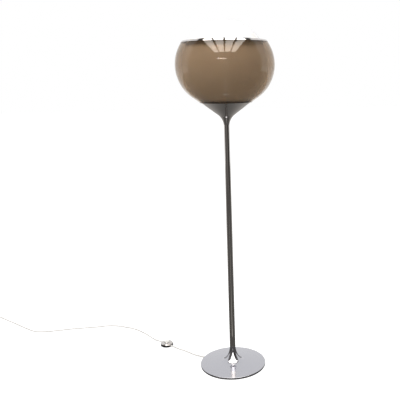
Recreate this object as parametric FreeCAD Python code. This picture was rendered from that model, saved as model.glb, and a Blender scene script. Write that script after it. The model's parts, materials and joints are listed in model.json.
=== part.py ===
import FreeCAD, Part
import math
import os

# A floor lamp: a spun trumpet foot, a slim stem, and a chromed cup that holds a smoked bowl round an opal globe.
# Lengths are in millimetres and angles in degrees. Z is up, the origin is on the floor under the middle of the
# stem, and the front looks towards -Y. A section point is (radius, height).

# Smoked bowl: an arc at the side, then a straight cone that runs down into the cup
rim_height = 1420.0
rim_drop = 95.0  # from the top edge down to the widest level
bowl_arc_radius = 158.4
bowl_arc_offset = 44.6  # the arc's centre from the lamp's axis
cone_slope = 54.9  # from the vertical
bowl_wall = 3.0
bowl_bands = 5  # the side's arc is one curve, cut into this many faces

# Cup: the same cone, one wall further out, and a concave throat that meets the stem
cup_wall = 1.0
cup_play = 0.3
cup_rim_radius = 109.0
throat_radius = 55.0
carrier_radius = 55.0  # where the carrier disc seats on the cup's cone
carrier_thickness = 2.5
seat_play = 0.1

# Opal globe: a bowl inside the smoked one, and a dome that stands on the rim ring
globe_gap = 4.6  # from the globe to the smoked cone, at the nearest
globe_wall = 2.5
globe_floor_radius = 34.0

# Rim ring
ring_wall = 1.0
ring_skirt = 5.5
ring_play = 0.2
ring_ledge = 4.0  # how far the ring reaches in under the dome's foot
ring_bead = 3.0  # the upstand that centres the dome
dome_play = 0.6

# Stem
stem_radius = 12.5
stem_wall = 1.0
plug_play = 0.05
plug_length = 30.0  # in the tube
plug_spigot = 14.0  # in the neck or the throat

# Foot: a rounded lip, a shallow cone, a tight hip arc and a long flare arc up to the stem
foot_radius = 146.0
foot_wall = 1.2
foot_slope = 5.0  # of the cone, from the horizontal
foot_skirt = 1.1
lip_radius = 1.0
hip_radius = 35.0
flare_radius = 100.0
flare_sweep = 35.0

# Edge ring under the cover, and the weight inside it
edge_height = 7.0
edge_outer_radius = foot_radius - 0.6
edge_inner_radius = foot_radius - 8.0
edge_round = 1.5
ledge_height = 1.8
ledge_width = 6.0
weight_radius = edge_inner_radius - 0.4
weight_lift = 2.0
weight_play = 0.3
boss_radius = 24.0
boss_clearance = 2.0
recess_radius = 20.0
recess_depth = 21.0
felt_radius = edge_inner_radius - ledge_width - 0.5
felt_bottom = 0.4

# Hollow threaded nipples, their nuts and washers
nipple_radius = 5.0
nipple_bore = 4.0
thread_play = 0.05
hole_play = 0.4
nut_across = 14.0
nut_height = 5.0
foot_nut_height = 6.0
foot_washer_radius = 14.0
washer_thickness = 2.0
nipple_proud = 1.0
clamp_washer_radius = 20.0
shade_washer_radius = 40.0
shade_washer_thickness = 1.0
spacer_radius = 30.0

# Lampholder, as radii and heights above the clamp nut
holder_radius = 21.5
holder_neck_radius = 11.0
holder_wall = 2.0
holder_neck_height = 5.0
holder_shoulder = 11.0
holder_split = 20.0
holder_height = 54.0
holder_mouth_radius = 19.0
insert_thickness = 7.0
sleeve_radius = 14.1
sleeve_wall = 0.6
sleeve_height = 22.0
contact_radius = 5.0
contact_thickness = 1.6
nipple_in_holder = 8.0

# Bulb, with its cap's threads as a plain cylinder
bulb_radius = 30.0
bulb_length = 105.0
bulb_cap_radius = 13.1
bulb_cap_height = 24.0
bulb_tip_radius = 4.5
bulb_tip_height = 2.4
contact_play = 0.3

# Cord: where it leaves the foot, and its bush, stop and inner bend
cord_radius = 2.7
cord_sides = 8  # the cord is modelled with flat sides
exit_angle = 153.0
exit_height = 3.45
bush_radius = 3.4
bush_tip_radius = 2.95
bush_reach = 24.0  # beyond the foot
bush_flange_width = 12.0
bush_flange_height = 6.5
bush_flange_thickness = 2.0
stop_length = 8.0
stop_width = 10.0
stop_height = 6.1
slot_play = 0.3
channel_width = 8.0
lead_bend = 14.0

# Foot switch: a round tub on three feet, a domed cover and a push button
switch_x = -320.0
switch_y = 213.0
switch_turn = 138.0  # direction in which the cord goes on
tub_radius = 30.0
tub_top_radius = 28.8
tub_height = 10.5
tub_wall = 2.2
tub_floor = 1.6
feet_height = 0.8
feet_radius = 4.0
feet_circle = 21.0
feet_seat = 0.6
feet_count = 3
cover_radius = 28.2
cover_skirt = 1.8
cover_wall = 1.2
cover_rise = 5.2  # from the skirt up to the collar's foot
cover_bulge = 1.6
collar_radius = 14.6
collar_height = 2.2
button_radius = 11.6
button_play = 0.4
button_flange = 2.0
button_flange_thickness = 1.6
button_proud = 3.6
button_crown = 1.2
button_wall = 1.6
spring_radius = 5.6  # to the middle of the wire
spring_wire = 0.6
spring_turns = 4
spring_play = 0.05
entry_height = 6.4
sleeve_root_radius = 3.8
sleeve_tip_radius = 3.1
sleeve_collar = 1.0
sleeve_reach = 9.0
lead_end = 17.0
screw_circle = 20.0
screw_radius = 1.5
screw_head_radius = 2.8
screw_head_height = 1.2
post_radius = 3.0
blade_spread = 11.5
blade_length = 13.0
blade_width = 5.0
blade_thickness = 0.8
blade_rise = 2.2

# Wound-up length: two layers of one spiral, and the tie round them
coil_x = -1327.5
coil_y = 625.0
coil_start_angle = 51.0
coil_diameter = 59.5  # at the middle of the turns
coil_turns = 2.25  # in each layer
coil_pitch = 6.0
layer_rise = 6.0
tie_thickness = 0.6
tie_play = 0.25
tie_width = 9.0
tie_angle = 230.0

# Two-pin plug on its side beside the coil
plug_width = 34.0
plug_thickness = 13.4
plug_neck_width = 15.0
plug_neck_thickness = 10.0
plug_body_length = 34.0
plug_corner = 2.5
plug_relief_length = 22.0
plug_relief_radius = 3.15
plug_relief_root = 4.6
plug_lift = 0.3
pin_radius = 2.0
pin_length = 19.0
pin_spacing = 19.0
pin_root_radius = 1.5
pin_root_length = 1.0  # between the body and the full round
pin_seat = 8.0

V = FreeCAD.Vector
UP = V(0, 0, 1)
ORIGIN = V(0, 0, 0)
ARC_REACH = 0.45  # an arc of the cord takes this share of the shorter run beside it


# ---- Shapes ----


def polar(centre, radius, degrees):
    turn = math.radians(degrees)
    return centre[0] + radius * math.cos(turn), centre[1] + radius * math.sin(turn)


def arc(centre, radius, start, end):
    """One step of an outline: the middle and the end of an arc."""
    return polar(centre, radius, (start + end) / 2), polar(centre, radius, end)


def banded(centre, radius, start, end, count):
    """The same arc, as a row of shorter ones."""
    step = (end - start) / count
    return [arc(centre, radius, start + step * band, start + step * (band + 1)) for band in range(count)]


def in_section(point):
    return V(point[0], 0, point[1])


def on_floor(point):
    return V(point[0], point[1], 0)


def face_of(start, steps, place):
    """The face inside a closed outline of corners, and of arcs given as (middle, end)."""
    edges, here = [], start
    for step in list(steps) + [start]:
        is_arc = isinstance(step[0], tuple)
        there = step[1] if is_arc else step
        if math.dist(here, there) > 1e-6:
            if is_arc:
                edges.append(Part.Arc(place(here), place(step[0]), place(there)).toShape())
            else:
                edges.append(Part.makeLine(place(here), place(there)))
        here = there
    return Part.Face(Part.Wire(edges))


def solid_of(shape):
    if shape.Volume < 0:
        shape.reverse()
    return shape


def turned(start, *steps):
    return solid_of(face_of(start, steps, in_section).revolve(ORIGIN, UP, 360))


def ring(inner, outer, low, high):
    return turned((inner, low), (outer, low), (outer, high), (inner, high))


def block(size, low):
    """A box centred on the X axis's line in Y, from its lowest x and z."""
    return Part.makeBox(size[0], size[1], size[2], V(low[0], -size[1] / 2, low[1]))


def bar(radius, low_x, high_x, height):
    return Part.makeCylinder(radius, high_x - low_x, V(low_x, 0, height), V(1, 0, 0))


def taper(radius_low, radius_high, low_x, high_x, height):
    return Part.makeCone(radius_low, radius_high, high_x - low_x, V(low_x, 0, height), V(1, 0, 0))


def nut(across, bore, low, high):
    corners = [polar((0, 0), across / math.sqrt(3), 60 * side) for side in range(6)]
    prism = face_of(corners[0], corners[1:], on_floor).extrude(V(0, 0, high - low))
    prism.translate(V(0, 0, low))
    return prism.cut(Part.makeCylinder(bore, high - low, V(0, 0, low)))


def placed(shape, x, y, degrees):
    shape.rotate(ORIGIN, UP, degrees)
    shape.translate(V(x, y, 0))
    return shape


def repeated(shape, count, first=0.0):
    copies = []
    for index in range(count):
        one = shape.copy()
        one.rotate(ORIGIN, UP, first + 360.0 / count * index)
        copies.append(one)
    return Part.makeCompound(copies)


def save(node, shape):
    for solid in shape.Solids:
        if not solid.isValid() or solid.Volume <= 0:
            print("check this solid:", node)
    shape.exportStep("parts/" + node + ".step")
    print(node, len(shape.Solids), round(shape.Volume / 1000, 2), "cm3")


# ---- Sections that several pieces share ----

bowl_centre = (bowl_arc_offset, rim_height - rim_drop)
globe_centre = (0.0, rim_height - rim_drop)
slope_tan = math.tan(math.radians(cone_slope))
bowl_inside = bowl_arc_radius - bowl_wall
cup_inside = bowl_arc_radius + cup_play
cup_outside = cup_inside + cup_wall


def cone_radius(offset, height):
    """Radius, at a height, of the cone that leaves a circle of radius offset round the bowl's arc centre."""
    touch = polar(bowl_centre, offset, -cone_slope)
    return touch[0] - (touch[1] - height) * slope_tan


def cone_height(offset, radius):
    touch = polar(bowl_centre, offset, -cone_slope)
    return touch[1] - (touch[0] - radius) / slope_tan


def level_angle(radius, rise):
    """Where a circle of this radius reaches a height above its centre."""
    return math.degrees(math.asin(rise / radius))


throat_centre = (
    stem_radius + throat_radius,
    cone_height(cup_outside + throat_radius, stem_radius + throat_radius),
)
stem_top = throat_centre[1]
carrier_low = cone_height(cup_inside - seat_play, carrier_radius)
carrier_high = carrier_low + carrier_thickness
bowl_floor = carrier_high + shade_washer_thickness
globe_radius = bowl_inside + bowl_arc_offset * math.cos(math.radians(cone_slope)) - globe_gap
globe_inside = globe_radius - globe_wall
globe_floor = globe_centre[1] - math.sqrt(globe_radius**2 - globe_floor_radius**2)
clamp_floor = globe_floor + globe_wall
nut_floor = clamp_floor + washer_thickness
holder_floor = nut_floor + nut_height
insert_floor = holder_floor + holder_split - insert_thickness
insert_top = holder_floor + holder_split
dome_floor = rim_height + ring_wall

lip_centre = (foot_radius - lip_radius, edge_height + foot_skirt)
cone_outer = polar(lip_centre, lip_radius, 90 - foot_slope)
split_radius = stem_radius + flare_radius * (1 - math.cos(math.radians(flare_sweep)))
foot_tan = math.tan(math.radians(foot_slope))
hip_end_radius = split_radius + hip_radius * (
    math.cos(math.radians(flare_sweep)) - math.sin(math.radians(foot_slope))
)
hip_end_height = cone_outer[1] + (cone_outer[0] - hip_end_radius) * foot_tan
hip_centre = (
    hip_end_radius + hip_radius * math.sin(math.radians(foot_slope)),
    hip_end_height + hip_radius * math.cos(math.radians(foot_slope)),
)
flare_centre = (
    stem_radius + flare_radius,
    hip_centre[1] + (flare_radius - hip_radius) * math.sin(math.radians(flare_sweep)),
)
stem_foot = flare_centre[1]
hip_inside = hip_radius + foot_wall
flare_inside = flare_radius + foot_wall
recess_top = weight_lift + recess_depth
foot_nut_low = recess_top - washer_thickness - foot_nut_height


def under_cover(radius, gap):
    """Height under the foot's cone, at a gap below the cover's inner face."""
    touch = polar(hip_centre, hip_inside + gap, 270 - foot_slope)
    return touch[1] - (radius - touch[0]) * foot_tan


# ---- Foot ----


def base_cover():
    inner_edge = foot_radius - foot_wall
    return turned(
        (foot_radius, edge_height),
        (foot_radius, lip_centre[1]),
        arc(lip_centre, lip_radius, 0, 90 - foot_slope),
        (hip_end_radius, hip_end_height),
        arc(hip_centre, hip_radius, 270 - foot_slope, 180 + flare_sweep),
        arc(flare_centre, flare_radius, 180 + flare_sweep, 180),
        (stem_radius - foot_wall, stem_foot),
        arc(flare_centre, flare_inside, 180, 180 + flare_sweep),
        arc(hip_centre, hip_inside, 180 + flare_sweep, 270 - foot_slope),
        (inner_edge, under_cover(inner_edge, 0)),
        (inner_edge, edge_height),
    )


def edge_ring():
    """Rubber profile under the cover's rim, with a ledge that carries the weight and a gap for the cord's bush."""
    corner = (edge_outer_radius - edge_round, edge_round)
    profile = turned(
        (edge_inner_radius - ledge_width, 0),
        (corner[0], 0),
        arc(corner, edge_round, -90, 0),
        (edge_outer_radius, edge_height),
        (edge_inner_radius, edge_height),
        (edge_inner_radius, ledge_height),
        (edge_inner_radius - ledge_width, ledge_height),
    )
    gap_start = edge_inner_radius - 2 * ledge_width
    gap = block(
        (foot_radius - gap_start, 2 * (bush_radius + slot_play), edge_height),
        (gap_start, 0),
    )
    pocket = bush_pocket(edge_inner_radius - slot_play)
    return profile.cut(placed(gap.fuse(pocket), 0, 0, exit_angle))


def bush_pocket(end):
    """Room for the cord stop and the bush's flange behind the ring's wall."""
    length = bush_flange_thickness + stop_length + 4 * slot_play
    width = bush_flange_width + 2 * slot_play
    return block((length, width, edge_height), (end - length, 0))


def base_weight():
    floor = under_cover(hip_end_radius, weight_play)
    boss_top = (
        flare_centre[1]
        - math.sqrt(flare_inside**2 - (flare_centre[0] - boss_radius) ** 2)
        - boss_clearance
    )
    casting = turned(
        (recess_radius, weight_lift),
        (weight_radius, weight_lift),
        (weight_radius, under_cover(weight_radius, weight_play)),
        (hip_end_radius, floor),
        (boss_radius, floor),
        (boss_radius, boss_top),
        (nipple_radius + hole_play, boss_top),
        (nipple_radius + hole_play, recess_top),
        (recess_radius, recess_top),
    )
    channel = block((weight_radius, channel_width, edge_height), (0, 0))
    pocket = bush_pocket(edge_inner_radius)
    return casting.cut(placed(channel.fuse(pocket), 0, 0, exit_angle))


def base_felt():
    disc = Part.makeCylinder(felt_radius, weight_lift - felt_bottom, V(0, 0, felt_bottom))
    slot = block((weight_radius, channel_width, edge_height), (0, 0))
    pocket = bush_pocket(edge_inner_radius)
    return disc.cut(placed(slot.fuse(pocket), 0, 0, exit_angle))


def cord_grommet():
    """Tapered bush through the ring's gap, with a flange behind it."""
    face = edge_inner_radius - slot_play
    sleeve = bar(bush_radius, face, foot_radius, exit_height).fuse(
        taper(bush_radius, bush_tip_radius, foot_radius, foot_radius + bush_reach, exit_height)
    )
    flange = block(
        (bush_flange_thickness, bush_flange_width, bush_flange_height),
        (face - bush_flange_thickness, exit_height - bush_flange_height / 2),
    )
    bore = bar(cord_radius, 0, 2 * foot_radius, exit_height)
    return placed(sleeve.fuse(flange).removeSplitter().cut(bore), 0, 0, exit_angle)


def cord_stop():
    """Clamp block on the lead, just behind the bush's flange, so that a pull stops there."""
    high = edge_inner_radius - 2 * slot_play - bush_flange_thickness
    clamp = block(
        (stop_length, stop_width, stop_height),
        (high - stop_length, exit_height - stop_height / 2),
    )
    corners = [edge for edge in clamp.Edges if abs(edge.tangentAt(0).z) > 0.9]
    clamp = clamp.makeFillet(1.0, corners)
    return placed(clamp.cut(bar(cord_radius, 0, high, exit_height)), 0, 0, exit_angle)


def foot_nipple():
    return ring(nipple_bore, nipple_radius, foot_nut_low - nipple_proud, stem_foot + plug_length / 2)


def foot_washer():
    return ring(
        nipple_radius + hole_play,
        foot_washer_radius,
        recess_top - washer_thickness,
        recess_top,
    )


def foot_nut():
    return nut(nut_across, nipple_radius + thread_play, foot_nut_low, foot_nut_low + foot_nut_height)


# ---- Stem ----


def stem_tube():
    return ring(stem_radius - stem_wall, stem_radius, stem_foot, stem_top)


def stem_plug(joint, tube_end, spigot_wall):
    """Turned plug across the seam between the tube and its neighbour, which is at the height joint."""
    towards_tube = 1 if tube_end > joint else -1
    spigot_end = joint - towards_tube * plug_spigot
    in_tube = stem_radius - stem_wall - plug_play
    in_spigot = stem_radius - spigot_wall - plug_play
    return turned(
        (nipple_radius + thread_play, tube_end),
        (in_tube, tube_end),
        (in_tube, joint),
        (in_spigot, joint),
        (in_spigot, spigot_end),
        (nipple_radius + thread_play, spigot_end),
    )


def stem_lead():
    """The lead inside: along the foot's channel, round a bend and up to the lampholder."""
    tip = foot_radius + bush_reach
    bend = (-lead_bend, exit_height + lead_bend)
    start = (-tip, exit_height)
    path = [
        Part.makeLine(in_section(start), in_section((-lead_bend, exit_height))),
        Part.Arc(
            in_section((-lead_bend, exit_height)),
            in_section(polar(bend, lead_bend, -45)),
            in_section((0, bend[1])),
        ).toShape(),
        Part.makeLine(in_section((0, bend[1])), V(0, 0, insert_floor - contact_play)),
    ]
    return placed(swept(path, cord_radius), 0, 0, exit_angle - 180)


# ---- Cup, bowl and globe ----


def cup():
    rim = cone_height(cup_outside, cup_rim_radius)
    return turned(
        (stem_radius, stem_top),
        arc(throat_centre, throat_radius, 180, 180 - cone_slope),
        (cup_rim_radius, rim),
        (cone_radius(cup_inside, rim), rim),
        polar(throat_centre, throat_radius + cup_wall, 180 - cone_slope),
        arc(throat_centre, throat_radius + cup_wall, 180 - cone_slope, 180),
    )


def head_nipple():
    return ring(
        nipple_bore,
        nipple_radius,
        stem_top - plug_length / 2,
        holder_floor + nipple_in_holder,
    )


def carrier_flange():
    seat = cup_inside - seat_play
    return turned(
        (nipple_radius + hole_play, carrier_low),
        (carrier_radius, carrier_low),
        (cone_radius(seat, carrier_high), carrier_high),
        (nipple_radius + hole_play, carrier_high),
    )


def smoked_shade():
    rim_angle = level_angle(bowl_arc_radius, rim_drop)
    inner_rim_angle = level_angle(bowl_inside, rim_drop)
    inner_floor = bowl_floor + bowl_wall
    return turned(
        polar(bowl_centre, bowl_arc_radius, rim_angle),
        *banded(bowl_centre, bowl_arc_radius, rim_angle, -cone_slope, bowl_bands),
        (cone_radius(bowl_arc_radius, bowl_floor), bowl_floor),
        (nipple_radius + hole_play, bowl_floor),
        (nipple_radius + hole_play, inner_floor),
        (cone_radius(bowl_inside, inner_floor), inner_floor),
        polar(bowl_centre, bowl_inside, -cone_slope),
        *banded(bowl_centre, bowl_inside, -cone_slope, inner_rim_angle, bowl_bands),
    )


def globe_spacer():
    return ring(nipple_radius + hole_play, spacer_radius, bowl_floor + bowl_wall, globe_floor)


def lower_diffuser():
    rise = rim_drop - ring_play
    floor_angle = -math.degrees(math.acos(globe_floor_radius / globe_radius))
    inner_floor_angle = -level_angle(globe_inside, globe_centre[1] - clamp_floor)
    return turned(
        polar(globe_centre, globe_radius, level_angle(globe_radius, rise)),
        arc(globe_centre, globe_radius, level_angle(globe_radius, rise), floor_angle),
        (nipple_radius + hole_play, globe_floor),
        (nipple_radius + hole_play, clamp_floor),
        polar(globe_centre, globe_inside, inner_floor_angle),
        arc(globe_centre, globe_inside, inner_floor_angle, level_angle(globe_inside, rise)),
    )


def rim_ring():
    """Chromed ring: a skirt over the bowl's edge, a flat web under the dome and a bead that centres it."""
    skirt_inside = bowl_arc_radius + ring_play
    skirt_outside = skirt_inside + ring_wall
    skirt_low = rim_drop - ring_skirt
    top_rise = rim_drop + ring_wall
    dome_foot = math.sqrt(globe_radius**2 - top_rise**2)
    ledge_edge = math.sqrt(globe_inside**2 - top_rise**2) - ring_ledge
    bead_inside = dome_foot + dome_play
    return turned(
        (ledge_edge, rim_height),
        (ledge_edge, dome_floor),
        (bead_inside, dome_floor),
        (bead_inside, dome_floor + ring_bead),
        (bead_inside + ring_wall, dome_floor + ring_bead),
        (bead_inside + ring_wall, dome_floor),
        polar(bowl_centre, skirt_outside, level_angle(skirt_outside, top_rise)),
        arc(
            bowl_centre,
            skirt_outside,
            level_angle(skirt_outside, top_rise),
            level_angle(skirt_outside, skirt_low),
        ),
        polar(bowl_centre, skirt_inside, level_angle(skirt_inside, skirt_low)),
        arc(
            bowl_centre,
            skirt_inside,
            level_angle(skirt_inside, skirt_low),
            level_angle(skirt_inside, rim_drop),
        ),
    )


def upper_diffuser():
    rise = rim_drop + ring_wall
    foot_angle = level_angle(globe_radius, rise)
    inner_angle = level_angle(globe_inside, rise)
    return turned(
        polar(globe_centre, globe_radius, foot_angle),
        arc(globe_centre, globe_radius, foot_angle, 90),
        polar(globe_centre, globe_inside, 90),
        arc(globe_centre, globe_inside, 90, inner_angle),
    )


# ---- Lampholder and bulb ----


def holder_cap():
    low = holder_floor
    inside = holder_radius - holder_wall
    return turned(
        (nipple_radius + thread_play, low),
        (holder_neck_radius, low),
        (holder_neck_radius, low + holder_neck_height),
        (holder_radius, low + holder_shoulder),
        (holder_radius, low + holder_split),
        (inside, low + holder_split),
        (inside, low + holder_shoulder + holder_wall / 2),
        (holder_neck_radius - holder_wall, low + holder_neck_height + holder_wall / 2),
        (nipple_radius + thread_play, low + holder_neck_height + holder_wall / 2),
    )


def holder_insert():
    return Part.makeCylinder(
        holder_radius - holder_wall - plug_play, insert_thickness, V(0, 0, insert_floor)
    )


def holder_contacts():
    """Centre tongue and, beside it, the foot of the side contact that meets the threaded sleeve."""
    centre = Part.makeCylinder(contact_radius, contact_thickness, V(0, 0, insert_top))
    side_width = sleeve_radius - contact_radius - 3
    side = block((side_width, contact_radius, contact_thickness), (contact_radius + 2, insert_top))
    return Part.makeCompound([centre, side])


def holder_sleeve():
    low = insert_top + contact_thickness
    return ring(sleeve_radius - sleeve_wall, sleeve_radius, low, low + sleeve_height)


def holder_shell():
    """Screw-on shell: a skirt with two grip ribs, drawn in at the mouth."""
    low, high = insert_top, holder_floor + holder_height
    inside = holder_radius - holder_wall
    rib = holder_wall / 2
    return turned(
        (inside, low),
        (holder_radius, low),
        (holder_radius, low + 8 * rib),
        (holder_radius + rib, low + 9 * rib),
        (holder_radius, low + 10 * rib),
        (holder_radius, high - 5 * rib),
        (holder_mouth_radius, high),
        (holder_mouth_radius - holder_wall, high),
        (inside, high - 6 * rib),
    )


bulb_low = insert_top + contact_thickness + contact_play
bulb_thread_low = bulb_low + bulb_tip_height
bulb_glass_low = bulb_thread_low + bulb_cap_height


def bulb_cap():
    return turned(
        (0, bulb_low),
        (bulb_tip_radius, bulb_low),
        (bulb_cap_radius, bulb_thread_low),
        (bulb_cap_radius, bulb_glass_low),
        (0, bulb_glass_low),
    )


def bulb_glass():
    """Pear shape: a round head, and a neck whose side leaves the head on a tangent."""
    centre = (0.0, bulb_low + bulb_length - bulb_radius)
    neck = (bulb_cap_radius, bulb_glass_low)
    run = math.dist(centre, neck)
    to_neck = math.degrees(math.atan2(neck[1] - centre[1], neck[0]))
    touch = to_neck + math.degrees(math.acos(bulb_radius / run))
    return turned(
        (0, bulb_glass_low),
        neck,
        polar(centre, bulb_radius, touch),
        arc(centre, bulb_radius, touch, 90),
    )


# ---- Foot switch, built along X and then turned into the cord's line ----

tub_floor_top = feet_height + tub_floor
cover_low = tub_height
cover_shoulder = cover_low + cover_skirt
collar_low = cover_shoulder + cover_rise
flange_top = collar_low - cover_wall - button_play
flange_low = flange_top - button_flange_thickness
collar_top = collar_low + collar_height
sleeve_tip = tub_radius + sleeve_reach


def in_switch(shape):
    return placed(shape, switch_x, switch_y, switch_turn)


def switch_base():
    """Moulded tub: open slots for the sleeves, posts for the screws, seats for the feet and a hub for the spring."""
    tub = turned(
        (0, feet_height),
        (tub_radius - edge_round, feet_height),
        (tub_radius, feet_height + edge_round),
        (tub_top_radius, tub_height),
        (tub_top_radius - tub_wall, tub_height),
        (tub_radius - edge_round - tub_wall, tub_floor_top),
        (0, tub_floor_top),
    )
    hub = Part.makeCylinder(spring_radius - 3 * spring_wire, tub_floor, V(0, 0, tub_floor_top))
    post = Part.makeCylinder(post_radius, tub_height - tub_floor_top, V(0, screw_circle, tub_floor_top))
    tub = tub.fuse([hub, repeated(post, 2)])
    for side in (0, 180):
        slot = bar(sleeve_root_radius, 0, 2 * tub_radius, entry_height).fuse(
            block((2 * tub_radius, 2 * sleeve_root_radius, tub_height), (0, entry_height))
        )
        slot = slot.common(ring(tub_top_radius - 2 * tub_wall, 2 * tub_radius, 0, 2 * tub_height))
        slot.rotate(ORIGIN, UP, side)
        tub = tub.cut(slot)
    seat = Part.makeCylinder(feet_radius, feet_seat, V(feet_circle, 0, feet_height))
    hole = Part.makeCylinder(screw_radius, tub_height, V(0, screw_circle, 0))
    head = Part.makeCylinder(screw_head_radius, screw_head_height, V(0, screw_circle, feet_height))
    return in_switch(tub.cut([repeated(seat, feet_count), repeated(hole.fuse(head), 2)]))


def switch_feet():
    pad = Part.makeCylinder(feet_radius, feet_height + feet_seat, V(feet_circle, 0, 0))
    return in_switch(repeated(pad, feet_count))


def switch_screws():
    head = Part.makeCylinder(screw_head_radius, screw_head_height, V(0, screw_circle, feet_height))
    length = collar_low - 2 * cover_rise / 3 - feet_height
    shank = Part.makeCylinder(screw_radius, length, V(0, screw_circle, feet_height))
    return in_switch(repeated(head.fuse(shank), 2))


def cover_dome(inset):
    """Outline of the cover's skirt and dome, drawn in by a wall's thickness: three points and the arc between two."""
    skirt = (cover_radius - inset, cover_shoulder - inset / 2)
    top = (collar_radius, collar_low - inset)
    middle = ((skirt[0] + top[0]) / 2, (skirt[1] + top[1]) / 2 + cover_bulge)
    return (cover_radius - inset, cover_low), skirt, middle, top


def switch_cover():
    """Domed cover with a collar round the button, and two bosses that take the screws."""
    hole = button_radius + button_play
    foot, skirt, middle, top = cover_dome(0)
    inner_foot, inner_skirt, inner_middle, inner_top = cover_dome(cover_wall)
    shell = turned(
        foot,
        skirt,
        (middle, top),
        (collar_radius, collar_top),
        (hole, collar_top),
        (hole, collar_low - cover_wall),
        inner_top,
        inner_middle,
        inner_skirt,
        inner_foot,
    )
    filled = turned((0, cover_low), foot, skirt, (middle, top), (0, collar_low))
    boss = Part.makeCylinder(post_radius, 2 * cover_rise, V(0, screw_circle, cover_low))
    shank = Part.makeCylinder(screw_radius, collar_low - 2 * cover_rise / 3, V(0, screw_circle, 0))
    return in_switch(shell.fuse(repeated(boss, 2).common(filled)).cut(repeated(shank, 2)))


def switch_button():
    """Hollow push button: a crowned top, and a flange that the cover holds in."""
    top = collar_top + button_proud
    rim = (button_radius, top - button_crown)
    crown = (button_radius - 2 * button_crown, top - button_crown / 4)
    inside = button_radius - button_wall
    return in_switch(
        turned(
            (inside, flange_low),
            (button_radius + button_flange, flange_low),
            (button_radius + button_flange, flange_top),
            (button_radius, flange_top),
            rim,
            crown,
            (0, top),
            (0, top - button_crown - button_wall),
            (inside, top - button_crown - button_wall),
        )
    )


def switch_spring():
    """Coil spring round the tub's hub, up to the underside of the button."""
    low = tub_floor_top + spring_wire / 2 + spring_play
    high = collar_top + button_proud - button_crown - button_wall - spring_wire / 2 - spring_play
    turns = Part.makeHelix((high - low) / spring_turns, high - low, spring_radius)
    turns.translate(V(0, 0, low))
    across = spring_wire / 2
    corners = [V(spring_radius + x * across, 0, low + z * across) for x, z in ((1, 0), (0, 1), (-1, 0), (0, -1))]
    section = Part.makePolygon(corners + corners[:1])
    return in_switch(solid_of(Part.Solid(Part.Wire(turns).makePipeShell([section], True, True))))


def switch_leads():
    """The cord's two ends inside the switch, from the sleeves' tips to the contacts."""
    lead = bar(cord_radius, lead_end, sleeve_tip, entry_height)
    return in_switch(repeated(lead, 2))


def switch_sleeves():
    wall_inside = tub_top_radius - tub_wall
    collar = bar(sleeve_root_radius, wall_inside - sleeve_collar, tub_radius, entry_height)
    tip = taper(sleeve_root_radius, sleeve_tip_radius, tub_radius, sleeve_tip, entry_height)
    bore = bar(cord_radius, 0, 2 * sleeve_tip, entry_height)
    return in_switch(repeated(collar.fuse(tip).removeSplitter().cut(bore), 2))


def switch_contacts():
    """Two bent brass blades beside the spring."""
    flat = block((blade_length, blade_width, blade_thickness), (-blade_length / 2, tub_floor_top))
    stand = block((blade_thickness, blade_width, blade_rise), (-blade_length / 2, tub_floor_top))
    tongue = block(
        (blade_length / 2, blade_width, blade_thickness),
        (-blade_length / 2, tub_floor_top + blade_rise),
    )
    blade = flat.fuse([stand, tongue]).removeSplitter()
    blade.translate(V(0, blade_spread, 0))
    return in_switch(repeated(blade, 2))


# ---- Cords ----


def biarc(start, start_way, end, end_way):
    """Two arcs that join two points and keep both directions."""
    chord = end - start
    both = start_way + end_way
    spread = 2 * (1 - start_way.dot(end_way))
    along = chord.dot(both)
    reach = (math.sqrt(along**2 + spread * chord.dot(chord)) - along) / spread
    middle = (start + end + (start_way - end_way) * reach) * 0.5
    return [arc_from(start, start_way, middle), arc_from(end, end_way * -1, middle)]


def arc_from(start, way, end):
    """The arc that leaves start in the direction way and reaches end."""
    chord = end - start
    straight = V(chord).normalize()
    side = (way - straight * way.dot(straight)).normalize()
    rise = chord.Length / 2 * math.tan(way.getAngle(straight) / 2)
    return Part.Arc(start, start + chord * 0.5 + side * rise, end).toShape()


def sided_ring(centre, way, radius):
    """A regular polygon square to a level direction, with its corners on a circle."""
    across = V(way).cross(UP).normalize()
    corners = []
    for index in range(cord_sides):
        level, rise = polar((0, 0), radius, 360 / cord_sides * (index + 0.5))
        corners.append(centre + across * level + UP * rise)
    return Part.makePolygon(corners + corners[:1])


def swept(path, radius):
    """A tube with flat sides along connected edges."""
    wire = Part.Wire(path)
    first = path[0]
    way = first.tangentAt(first.FirstParameter)
    section = sided_ring(first.valueAt(first.FirstParameter), way, radius)
    tube = solid_of(Part.Solid(wire.makePipeShell([section], True, False)))
    area = cord_sides / 2 * math.sin(2 * math.pi / cord_sides) * radius**2
    print("  length", round(wire.Length, 1), "volume ratio", round(tube.Volume / (area * wire.Length), 4))
    return tube


def free_cord(name, points):
    """A tube on straight runs, with an arc at each point as large as the runs beside it allow."""
    corners = [V(*point) for point in points]
    path, here, radii = [], corners[0], []
    for before, corner, after in zip(corners, corners[1:], corners[2:]):
        arriving, leaving = corner - before, after - corner
        half_turn = arriving.getAngle(leaving) / 2
        reach = ARC_REACH * min(arriving.Length, leaving.Length)
        radius = reach / math.tan(half_turn)
        inward = (V(leaving).normalize() - V(arriving).normalize()).normalize()
        start = corner - V(arriving).normalize() * reach
        end = corner + V(leaving).normalize() * reach
        middle = corner + inward * (radius / math.cos(half_turn) - radius)
        path += [Part.makeLine(here, start), Part.Arc(start, middle, end).toShape()]
        here = end
        radii.append(round(radius))
    path.append(Part.makeLine(here, corners[-1]))
    print(name, "bend radii", radii)
    return swept(path, cord_radius)


# Layer by layer, the coil's angle is counted from its start
layer_sweep = 360 * coil_turns
coil_sweep = 2 * layer_sweep + 180
coil_outer = coil_diameter / 2 + coil_pitch * coil_turns / 2
coil_inner = coil_diameter / 2 - coil_pitch * coil_turns / 2
first_layer = tie_thickness + 2 * tie_play + cord_radius


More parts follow.
